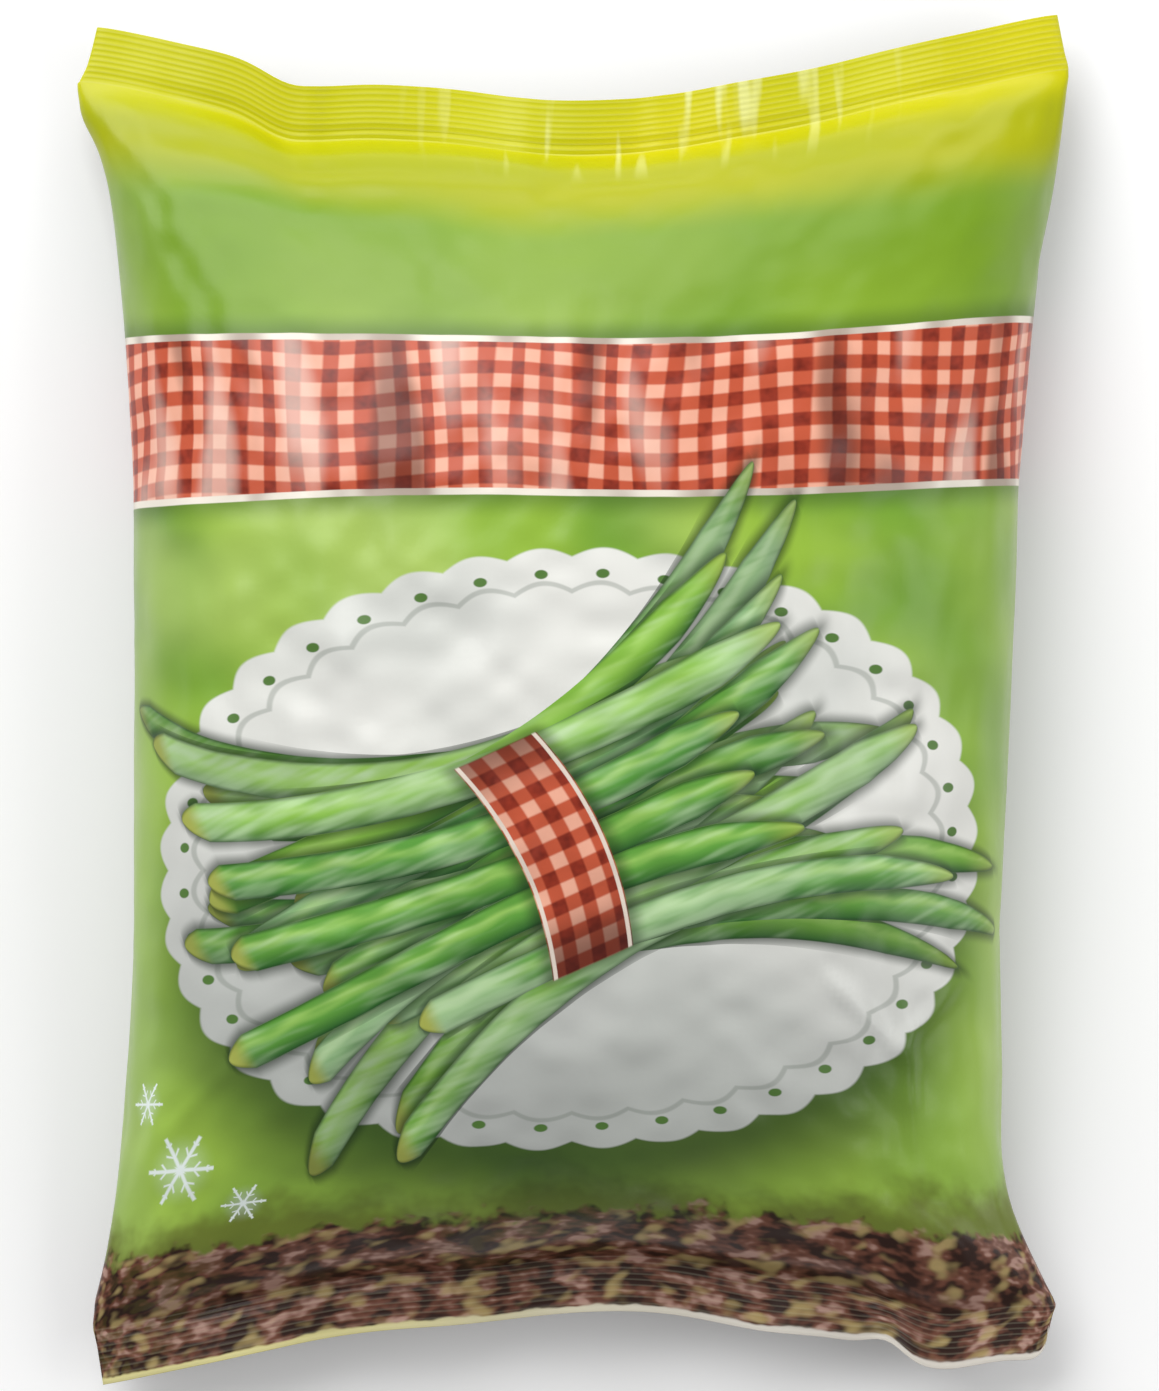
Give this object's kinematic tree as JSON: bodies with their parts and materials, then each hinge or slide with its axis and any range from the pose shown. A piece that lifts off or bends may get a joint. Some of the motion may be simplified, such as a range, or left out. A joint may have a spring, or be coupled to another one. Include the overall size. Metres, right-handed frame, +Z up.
{
  "type": "frozen vegetable pouch",
  "caption": "Filled pillow pouch of frozen cut green beans: printed glossy film with crimped end seals and a back fin, lying on its back.",
  "frame": {"origin": "on the surface the pouch lies on, under the middle of its bounding box", "axes": "+Z up out of the printed front, +Y along the pouch towards its top seal, +X to the right as the front is read"},
  "size_m": [0.23, 0.3194, 0.0647],
  "materials": {
    "printed_film": "glossy printed plastic film with crimped seals",
    "frozen_bean": "frosted green bean skin, stands in for a vegetable"
  },
  "bodies": {
    "root": {"film_pouch": "printed_film", "bean_clump_01": "frozen_bean", "bean_clump_02": "frozen_bean", "bean_clump_03": "frozen_bean", "bean_clump_04": "frozen_bean", "bean_clump_05": "frozen_bean", "bean_clump_06": "frozen_bean", "bean_clump_07": "frozen_bean", "bean_clump_08": "frozen_bean", "bean_clump_09": "frozen_bean", "bean_clump_10": "frozen_bean", "bean_clump_11": "frozen_bean", "bean_clump_12": "frozen_bean"}
  },
  "joints": []
}
